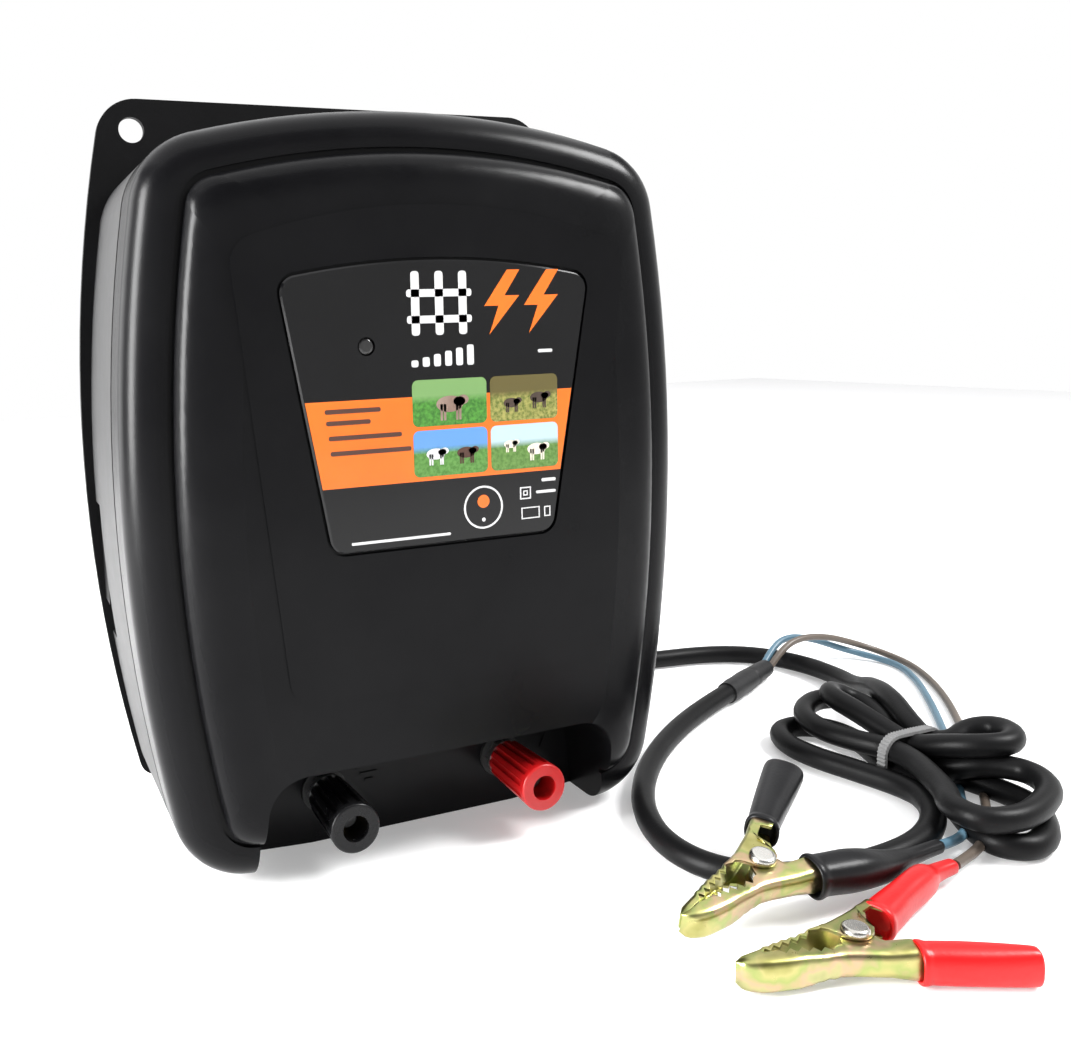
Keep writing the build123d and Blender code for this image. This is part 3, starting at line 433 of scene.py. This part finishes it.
def loft(name, rings, material, place=None):
    """A closed skin over successive rings of points."""
    size = len(rings[0])
    faces = ring_faces(len(rings), size)
    faces.append(tuple(range(size)))
    faces.append(tuple(range((len(rings) - 1) * size, len(rings) * size)))
    return mesh_piece(name, [p for ring in rings for p in ring], faces, material, place=place)


# ---- printed label ----
# The label's front face, the thickness of its ink and how far the ink's back sinks in, in millimetres.
LABEL_Y = -45.5
LABEL_INK = 0.1
LABEL_SINK = 0.02


def rounded(x0, z0, x1, z1, radius, steps=5):
    """Outline of a rounded rectangle."""
    points = []
    corners = [(x1 - radius, z1 - radius, 0), (x0 + radius, z1 - radius, 90),
               (x0 + radius, z0 + radius, 180), (x1 - radius, z0 + radius, 270)]
    for x, z, start in corners:
        for k in range(steps + 1):
            angle = math.radians(start + 90 * k / steps)
            points.append((x + radius * math.cos(angle), z + radius * math.sin(angle)))
    return points


def disc(x, z, radius, squash=1.0, steps=28):
    """Outline of a disc or an ellipse."""
    turn = 2 * math.pi / steps
    angles = [k * turn for k in range(steps)]
    return [(x + radius * math.cos(a), z + squash * radius * math.sin(a)) for a in angles]


def printed(name, outlines, material, level=1):
    """Thin raised ink shapes on the label; each outline is a list of (x, z)."""
    back = LABEL_Y + LABEL_SINK - LABEL_INK * (level - 1)
    front = LABEL_Y - LABEL_INK * level
    verts, faces = [], []
    for outline in outlines:
        first, size = len(verts), len(outline)
        verts += [(x, front, z) for x, z in outline] + [(x, back, z) for x, z in outline]
        faces.append(tuple(range(first, first + size)))
        faces += ring_faces(2, size, first)
    piece = mesh_piece(name, verts, faces, material)
    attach(piece, "root")


def washer(x, z, outer, inner, steps=32):
    """A ring as quarter strips, for printing."""
    strips = []
    for quarter in range(4):
        angles = [math.radians(90 * quarter + 90 * k / (steps // 4)) for k in range(steps // 4 + 1)]
        outside = [(x + outer * math.cos(a), z + outer * math.sin(a)) for a in angles]
        inside = [(x + inner * math.cos(a), z + inner * math.sin(a)) for a in reversed(angles)]
        strips.append(outside + inside)
    return strips


def frame_box(x0, z0, x1, z1, line):
    """A hollow square as four bars."""
    return [
        [(x0, z0), (x1, z0), (x1, z0 + line), (x0, z0 + line)],
        [(x0, z1 - line), (x1, z1 - line), (x1, z1), (x0, z1)],
        [(x0, z0 + line), (x0 + line, z0 + line), (x0 + line, z1 - line), (x0, z1 - line)],
        [(x1 - line, z0 + line), (x1, z0 + line), (x1, z1 - line), (x1 - line, z1 - line)],
    ]


def grazer(x, z, size):
    """A plain grazing animal: body, neck, head and legs."""
    shapes = [disc(x, z, 2.0 * size, 0.55), disc(x + 2.0 * size, z + 0.5 * size, 0.8 * size, 0.8)]
    shapes.append(disc(x + 1.4 * size, z + 0.3 * size, 0.9 * size, 0.7))
    for leg in (-1.4, -0.9, 0.9, 1.35):
        left = x + leg * size
        shapes.append([(left, z - 2.2 * size), (left + 0.3 * size, z - 2.2 * size),
                       (left + 0.35 * size, z), (left - 0.05 * size, z)])
    return shapes


def add_label():
    """Band, pictures, marks and lines of the printed label, all of a generic design."""
    printed("label_band", [[(-38.9, 120.8), (38.9, 120.8), (43.2, 145.8), (-43.2, 145.8)]], "orange_ink")
    tiles = [
        ("meadow", -10.5, 136.9, 24.2), ("wood", 14.9, 136.9, 23.2),
        ("pasture", -10.5, 122.0, 24.2), ("hill", 14.9, 122.0, 23.2),
    ]
    for index, (material, x, z, width) in enumerate(tiles):
        printed(f"label_picture_{index + 1}", [rounded(x, z, x + width, z + 13.7, 1.8)], material, 2)
    printed("label_animals_1", grazer(1.5, 143.2, 2.2), "horse", 3)
    printed("label_animals_2", grazer(22, 142.4, 1.3) + grazer(31.5, 143.6, 1.5), "boar", 3)
    printed("label_animals_3", grazer(-3.5, 128.6, 1.5), "white_ink", 3)
    printed("label_animals_4", grazer(6.5, 128.4, 1.5), "dark_ink", 3)
    printed("label_animals_5", grazer(21.5, 129.8, 1.1) + grazer(30.5, 127.8, 1.6), "sheep", 3)
    words = [(-37.5, 142.2, 17), (-37.2, 138.9, 13.5), (-36.6, 134.6, 22.5), (-36.2, 130.2, 25)]
    bars = [rounded(x, z, x + length, z + 1.3, 0.5, 2) for x, z, length in words]
    printed("label_text_lines", bars, "dark_ink", 2)
    posts = [rounded(x, 163.5, x + 2.6, 182.0, 0.9, 3) for x in (-10.0, -2.4, 5.2)]
    rails = [rounded(-11.4, z, 9.4, z + 2.2, 0.7, 3) for z in (167.0, 174.6)]
    level_bars = [
        rounded(-10.4 + 3.6 * k, 154.4, -8.2 + 3.6 * k, 156.4 + 0.8 * k, 0.6, 3) for k in range(6)
    ]
    printed("label_fence_mark", posts + rails + level_bars, "white_ink")
    bolt = [
        (21.4, 182.2), (13.6, 171.6), (18.4, 171.6), (15.2, 163.2), (25.4, 174.6), (20.4, 174.6),
        (25.6, 182.2),
    ]
    second_bolt = [(x + 13.4, z) for x, z in bolt]
    printed("label_bolt_mark", [bolt, second_bolt], "orange_ink")
    foot = washer(12.0, 111.2, 6.6, 6.0) + [disc(12.0, 107.4, 0.6)]
    foot += frame_box(24.6, 112.4, 28.4, 116.2, 0.4) + frame_box(25.7, 113.5, 27.3, 115.1, 0.35)
    foot += [rounded(30.2, 113.8, 37.2, 114.7, 0.4, 2), rounded(32.2, 117.4, 37.2, 118.4, 0.4, 2)]
    foot += frame_box(25.0, 106.2, 31.4, 109.8, 0.35) + frame_box(33.0, 106.4, 35.2, 109.6, 0.35)
    foot += [rounded(-30.8, 103.8, 0.8, 104.6, 0.3, 2), rounded(31.6, 157.2, 36.6, 158.2, 0.4, 2)]
    printed("label_small_marks", foot, "white_ink")
    printed("label_small_star", [disc(12.0, 113.0, 2.0)], "orange_ink")


# ---- tie and sleeves ----
def add_tie():
    """Ribbed tie around the hank's waist: a rounded loop in XZ with ribs across its outer face."""
    ribs, rib_height, valley_height = 124, 1.25, 0.85
    front, back, chamfer = -63.4, -59.6, 0.2
    centre_x, centre_z, outward_lift = 172.0, 8.8, 1.6
    outline = rounded(158.9, 0.35, 185.2, 17.2, 6.0, 10)
    lengths = [0.0]
    for a, b in zip(outline, outline[1:] + outline[:1]):
        lengths.append(lengths[-1] + math.dist(a, b))
    rings = []
    for k in range(ribs):
        target = lengths[-1] * k / ribs
        index = max(i for i, value in enumerate(lengths[:-1]) if value <= target)
        a, b = outline[index], outline[(index + 1) % len(outline)]
        share = (target - lengths[index]) / (lengths[index + 1] - lengths[index])
        x, z = a[0] + share * (b[0] - a[0]), a[1] + share * (b[1] - a[1])
        out_x, out_z = x - centre_x, (z - centre_z) * outward_lift
        norm = math.hypot(out_x, out_z)
        out_x, out_z = out_x / norm, out_z / norm
        thick = rib_height if k % 2 else valley_height
        rib_x, rib_z = x + thick * out_x, z + thick * out_z
        rings.append([
            (x, front, z), (rib_x, front + chamfer, rib_z), (rib_x, back - chamfer, rib_z), (x, back, z),
        ])
    faces = [tuple(v % (ribs * 4) for v in face) for face in ring_faces(ribs + 1, 4)]
    tie = mesh_piece("hank_tie_band", [p for ring in rings for p in ring], faces, "tie")
    return stand_for(tie, "root", "hank_tie")


def ring_at(centre, axis, radius, count=24):
    """A circle of points about an axis, in millimetres."""
    axis = Vector(axis).normalized()
    side = axis.cross(Vector((0, 0, 1))).normalized()
    lift = side.cross(axis)
    angles = [2 * math.pi * k / count for k in range(count)]
    return [tuple(Vector(centre) + radius * (math.cos(a) * side + math.sin(a) * lift)) for a in angles]


def add_sleeves():
    """The splice's two heat-shrink sleeves; each profile is (share of the length, radius)."""
    lead_end, middle, cores_start = (164, 26.5, 5), (186, 37.5, 5), (202, 45.5, 5)
    wide = [
        (0, 4.1), (0.01, 4.6), (0.1, 4.7), (0.3, 4.9), (0.5, 4.75), (0.7, 4.95), (0.9, 4.8), (0.99, 4.7),
        (1, 4.0),
    ]
    narrow = [
        (-0.05, 3.9), (0, 4.4), (0.2, 4.5), (0.45, 4.1), (0.6, 4.25), (0.85, 3.9), (0.98, 3.8), (1, 3.2),
    ]
    sleeves = (
        ("splice_sleeve_wide", lead_end, middle, wide),
        ("splice_sleeve_narrow", middle, cores_start, narrow),
    )
    pieces = []
    for node, start, end, profile in sleeves:
        axis = Vector(end) - Vector(start)
        rings = [ring_at(Vector(start) + share * axis, axis, radius) for share, radius in profile]
        piece = smooth(loft(node + "_shrunk", rings, "sleeve"), 50)
        pieces.append(stand_for(piece, "root", node))
    return pieces


# ---- battery clips ----
# Clip frame, in millimetres: x towards the handles, z from the lower to the upper jaw, y along the rivet,
# the origin on the rivet. Outlines are (x, z), widths are (x, half width).
CLIP_PLACES = {
    "red": ((69.1, -136.4, 5.25), -27.0, -90.0),
    "black": ((64.8, -106.6, 12.3), -5.25, -76.8),
}
LOWER_BACK = [(-32.6, -11.6), (-32.0, -13.0), (-30.9, -14.0), (-29, -14.6), (-26.5, -14.75), (-24, -14.5),
              (-17.5, -13.0), (-12, -11.0), (-8.5, -9.8), (-5.5, -9.0), (-2, -8.75), (30, -8.8)]
LOWER_EDGE = [(-32.5, -11.4), (-31.4, -11.7), (-30.2, -11.6), (-29, -11.3), (-26.6, -10.3), (-24.5, -9.8)]
LOWER_EAR = [
    (-4.7, -4.3), (-4.3, -1.5), (-3.7, 0.6), (-2.6, 2.2), (-1.3, 3.1), (0, 3.4), (1.5, 3.2), (2.8, 2.5),
    (4.0, 1.2), (4.8, -0.4), (5.4, -1.7), (6.6, -2.4), (12, -2.4), (20, -2.4), (29.5, -2.4),
]
LOWER_WIDTH = [(-33, 2.4), (-31, 3.9), (-27, 4.4), (-16, 4.3), (-10, 3.45), (6.5, 3.45), (10, 4.15),
               (13.2, 4.1), (15, 3.2), (30, 3.2)]
UPPER_WIDTH = [(-33, 2.0), (-30, 3.0), (-15, 3.3)]
UPPER_EAR_WIDTH, UPPER_HIDDEN_WIDTH = 4.55, 3.2
UPPER_START = (4.4, 13.2)
UPPER_ANGLE = math.radians(44.0)
SHEET = 0.9
EDGE_ROUNDING = 0.18
TOOTH_DEPTH = 1.7


def upper_point(distance, drop=0.0):
    """Point along the upper handle's back and a drop below it, in (x, z)."""
    along, down = math.cos(UPPER_ANGLE), math.sin(UPPER_ANGLE)
    return UPPER_START[0] + distance * along + drop * down, UPPER_START[1] + distance * down - drop * along


def lookup(table, x):
    """Straight-line reading of a table of (x, value)."""
    if x <= table[0][0]:
        return table[0][1]
    for (x0, v0), (x1, v1) in zip(table, table[1:]):
        if x <= x1:
            return v0 + (v1 - v0) * (x - x0) / (x1 - x0)
    return table[-1][1]


def saw(x, z, step_x, step_z, depth):
    """Six teeth: tips and valleys in turn."""
    points = []
    for k in range(6):
        points.append((x + k * step_x, z + k * step_z))
        points.append((x + (k + 0.5) * step_x, z + (k + 0.5) * step_z + depth))
    return points


def channel_section(back, edge, half_width, corner):
    """Points across a pressed channel, from one side's free edge over the back to the other."""
    rise = Vector((back[0] - edge[0], back[1] - edge[1]))
    height = rise.length
    up = rise / height
    radius = min(corner, 0.6 * height, 0.8 * half_width)
    side = []
    for share in (0.0, 0.3, 0.65, 1.0):
        reach = share * (height - radius)
        side.append((edge[0] + up.x * reach, half_width, edge[1] + up.y * reach))
    for angle in (22.5, 45, 67.5, 90):
        turn = math.radians(angle)
        reach = height - radius + radius * math.sin(turn)
        across = half_width - radius + radius * math.cos(turn)
        side.append((edge[0] + up.x * reach, across, edge[1] + up.y * reach))
    return [(x, -y, z) for x, y, z in side] + [(x, y, z) for x, y, z in reversed(side)]


def channel(name, stations, corner, place):
    """Pressed-steel channel through stations of (back, edge, half width)."""
    rings = [channel_section(*station, corner) for station in stations]
    faces = ring_faces(len(rings), len(rings[0]), closed=False)
    piece = mesh_piece(name, [p for ring in rings for p in ring], faces, "passivated", place=place)
    solid = piece.modifiers.new("sheet", "SOLIDIFY")
    solid.thickness = SHEET * MM
    solid.offset = -1
    bevel = piece.modifiers.new("edge", "BEVEL")
    bevel.width = EDGE_ROUNDING * MM
    bevel.segments = 2
    bevel.limit_method = "ANGLE"
    bevel.angle_limit = math.radians(50)
    return smooth(piece, 40)


def lower_stations():
    """Stations of the lower jaw and handle from tip to end."""
    teeth = list(reversed(saw(-6.2, -4.9, -3.05, -0.78, -TOOTH_DEPTH)))[1:]
    edges = LOWER_EDGE + teeth + LOWER_EAR
    return [((x, lookup(LOWER_BACK, x)), (x, z), lookup(LOWER_WIDTH, x)) for x, z in edges]


def upper_stations():
    """Stations of the upper jaw and handle from tip to end."""
    back = [(-32.2, -10.6), (-30.4, -8.3), (-24.2, -4.9), (-18.4, -1.6), (-13, 0.6), (-8.8, 2.8)]
    tip = [(-32.0, -11.0), (-30.4, -10.9), (-29, -10.5), (-26.6, -9.2)]
    edges = tip + saw(-25.4, -8.6, 2.55, 1.4, TOOTH_DEPTH)
    widths = UPPER_WIDTH + [(-9, UPPER_EAR_WIDTH)]
    jaw = [((x, lookup(back, x)), (x, z), lookup(widths, x)) for x, z in edges]
    ear = [
        ((-8.2, 3.1), (-9.2, 0.5)), ((-7.2, 3.8), (-8.2, 1.2)), ((-6.2, 4.4), (-6.6, 0.7)),
        ((-5.0, 5.3), (-5.0, -0.6)), ((-3.8, 6.2), (-3.4, -2.0)), ((-2.2, 7.5), (-1.8, -2.9)),
        ((-0.6, 8.7), (0.0, -3.2)), ((0.6, 9.7), (1.8, -2.8)), ((1.8, 10.7), (3.4, -1.8)),
        ((2.8, 11.6), (4.6, -0.2)), ((3.6, 12.4), (5.3, 1.8)), (upper_point(0), upper_point(-5.0, 3.6)),
        (upper_point(0.7), upper_point(-2.4, 3.2)), (upper_point(1.6), upper_point(1.5, 3.2)),
        (upper_point(2.2), upper_point(2.0, 3.4)), (upper_point(2.7), upper_point(2.5, 6.2)),
        (upper_point(4.4), upper_point(4.4, 6.4)),
    ]
    in_boot = [(upper_point(6.5, 0.3), upper_point(6.5, 6.2)), (upper_point(24, 0.3), upper_point(24, 6.2))]
    jaw += [(*pair, UPPER_EAR_WIDTH) for pair in ear]
    return jaw + [(*pair, UPPER_HIDDEN_WIDTH) for pair in in_boot]


def boot_ring(x, z, y, rise, width, height, power=2.5, count=32):
    """A rounded section of a boot, square to its rise."""
    lift = math.radians(rise)
    ring = []
    for k in range(count):
        turn = 2 * math.pi * k / count
        c, s = math.cos(turn), math.sin(turn)
        across = math.copysign(abs(c) ** (2 / power), c) * width / 2
        over = math.copysign(abs(s) ** (2 / power), s) * height / 2
        ring.append((x - over * math.sin(lift), y + across, z + over * math.cos(lift)))
    return ring


def boot(name, stations, colour, place):
    """Moulded boot: a rolled rim, a body through stations and a rounded closed end."""
    # The rim is (distance from the mouth, growth in width); the end is (distance, share of the width).
    rim = [
        (3.0, -2.2), (0.6, -2.0), (0.0, -1.2), (0.0, -0.2), (0.5, 0.4), (1.2, 0.45), (1.9, 0.1),
        (2.6, -0.35),
    ]
    end = [(0.45, 0.97), (0.8, 0.9), (1.0, 0.75), (1.05, 0.4)]
    x, z, y, rise, width, height = stations[0]
    step_x, step_z = math.cos(math.radians(rise)), math.sin(math.radians(rise))
    rings = [boot_ring(x + d * step_x, z + d * step_z, y, rise, width + g, height + g) for d, g in rim]
    rings += [boot_ring(*station) for station in stations[1:]]
    x, z, y, rise, width, height = stations[-1]
    step_x, step_z = math.cos(math.radians(rise)), math.sin(math.radians(rise))
    rings += [boot_ring(x + d * step_x, z + d * step_z, y, rise, width * g, height * g) for d, g in end]
    piece = loft(name, rings, f"{colour}_boot", place)
    refine = piece.modifiers.new("refine", "SUBSURF")
    refine.levels = refine.render_levels = 1
    return smooth(piece, 60)


def handle_stations(rows):
    """Boot stations given along the upper handle as (distance, drop, rise, width, height)."""
    return [(*upper_point(distance, drop), 0.0, rise, w, h) for distance, drop, rise, w, h in rows]


# Stations of each boot: (x, z, y, rise in degrees, width, height).
LOWER_END_BOOT = [
    (12.8, -6.0, 0, 0, 9.9, 9.7), (16, -6.0, 0, 0, 9.7, 9.4), (22, -6.0, 0, 0, 9.9, 9.6),
    (27, -6.05, 0, 0, 9.8, 9.5), (33, -6.2, 0, 0, 9.9, 8.6), (38, -6.4, 0, 0, 9.9, 7.4),
    (40.6, -6.5, 0, 0, 9.8, 6.6),
]
UPPER_END_BOOT = handle_stations([
    (4.5, 3.5, 44, 10.4, 9.6), (8, 3.4, 44, 10.2, 9.2), (14, 3.4, 44, 10.2, 9.8), (21, 3.6, 44, 9.9, 10.7),
    (27, 3.8, 44, 9.6, 11.4), (34, 4.0, 44, 9.2, 12.2), (38.2, 4.1, 44, 9.0, 12.4),
])
UPPER_WIRE_BOOT = handle_stations([
    (2.0, 4.5, 46, 9.7, 10.0), (6, 4.3, 46, 9.5, 9.5), (12, 4.0, 46, 9.5, 9.0), (18, 3.6, 46, 9.2, 8.2),
    (24, 3.4, 46, 9.3, 8.1),
]) + [
    (29.0, 32.6, 0, 46, 9.2, 8.3), (31.6, 35.2, 0, 44, 8.0, 7.4), (33.2, 36.5, 0, 38, 5.8, 5.6),
    (34.4, 37.3, 0, 34, 5.0, 4.9), (37.6, 39.6, 0, 32, 4.6, 4.5), (41.2, 41.7, 0, 28, 4.2, 4.2),
]
LOWER_WIRE_BOOT = [
    (12.0, -5.7, 0, 0, 11.2, 11.3), (15.5, -5.7, 0, 0, 10.5, 10.6), (19, -5.8, 0.1, 0, 10.7, 10.8),
    (24, -5.8, 0.4, 0, 11.2, 11.2), (28, -5.8, 0.6, 1, 10.8, 10.8), (32, -5.6, 1.1, 4, 10.2, 9.8),
    (37, -5.0, 2.3, 10, 9.0, 8.8), (42, -3.7, 3.6, 14, 7.6, 7.5), (47, -2.2, 4.7, 16, 6.4, 6.2),
    (50, -1.2, 5.3, 16, 5.4, 5.2), (54, -0.3, 5.8, 15, 4.6, 4.5), (60, 1.1, 6.4, 14, 4.2, 4.2),
    (65, 2.1, 6.9, 12, 4.0, 4.0),
]


def add_clip(colour):
    """One battery clip's jaws and boots; returns the boot its wire enters."""
    (x, y, z), yaw, roll = CLIP_PLACES[colour]
    place = Matrix.Translation((x * MM, y * MM, z * MM)) @ Matrix.Rotation(math.radians(yaw), 4, "Z")
    place = place @ Matrix.Rotation(math.radians(roll), 4, "X")
    jaw = f"{colour}_jaw"
    if colour == "red":
        wire, wire_body, end, end_body = UPPER_WIRE_BOOT, jaw, LOWER_END_BOOT, "root"
    else:
        wire, wire_body, end, end_body = LOWER_WIRE_BOOT, "root", UPPER_END_BOOT, jaw
    pieces = {
        "lower_jaw": (channel(f"{colour}_lower_jaw_steel", lower_stations(), 2.1, place), "root"),
        "upper_jaw": (channel(f"{colour}_upper_jaw_steel", upper_stations(), 1.7, place), jaw),
        "wire_boot": (boot(f"{colour}_wire_boot_pvc", wire, colour, place), wire_body),
        "end_boot": (boot(f"{colour}_end_boot_pvc", end, colour, place), end_body),
    }
    for part, (piece, body) in pieces.items():
        stand_for(piece, body, f"{colour}_clip_{part}")
    return pieces["wire_boot"][0]


# ---- assembly ----
def add_cords():
    """The battery lead with its hank, and the two cores."""
    hank = FIRST_RIGHT + FIRST_LEFT + SECOND_RIGHT + SECOND_LEFT + THIRD_RIGHT + THIRD_LEFT
    lead = cord_curve("battery_lead", LEAD_TO_HANK + hank + LEAD_FROM_HANK, LEAD_DIAMETER, "rubber")
    stand_for(lead, "root", "lead_to_hank", "lead_hank", "lead_from_hank")
    blue = cord_curve("blue_core_wire", BLUE_CORE, CORE_DIAMETER, "blue")
    stand_for(blue, "root", "blue_core")
    brown = cord_curve("brown_core_wire", BROWN_CORE, CORE_DIAMETER, "brown")
    lead_line, blue_line, brown_line = (line_points(cord) for cord in (lead, blue, brown))
    brown = as_tube(brown)
    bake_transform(brown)
    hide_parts("brown_core")
    add_sleeves() + [add_tie()]
    add_clip("black")
    add_clip("red")


NODE_MATERIALS = {
    "wall_bracket": "bracket", "rear_housing": "housing", "housing_seal": "seal", "front_cover": "case",
    "label_panel": "label", "light_pipe": "lens", "case_screws": "steel", "circuit_board": "board",
    "board_screws": "steel", "indicator_led": "lens", "storage_capacitor": "film",
    "supply_capacitor": "knob_black", "discharge_switch": "knob_black", "heat_sink": "steel",
    "transformer_core": "steel", "transformer_winding": "copper", "transformer_screws": "steel",
    "cable_gland": "rubber",
}
for terminal, colour in (("earth", "black"), ("fence", "red")):
    for part in ("stud_nut", "inner_nut", "clamp_washer"):
        NODE_MATERIALS[f"{terminal}_{part}"] = "steel"
    NODE_MATERIALS[f"{terminal}_knob_insert"] = "brass"
    NODE_MATERIALS[f"{terminal}_stud"] = "blackened"
    NODE_MATERIALS[f"{terminal}_stud_seal"] = "seal"
    NODE_MATERIALS[f"{terminal}_knob"] = f"knob_{colour}"
for colour in ("black", "red"):
    NODE_MATERIALS[f"{colour}_clip_rivet"] = "rivet"
    NODE_MATERIALS[f"{colour}_clip_spring"] = "steel"

add_camera()
add_studio()
add_cords()
add_label()
for node, material in NODE_MATERIALS.items():
    paint(NODES[node], material)
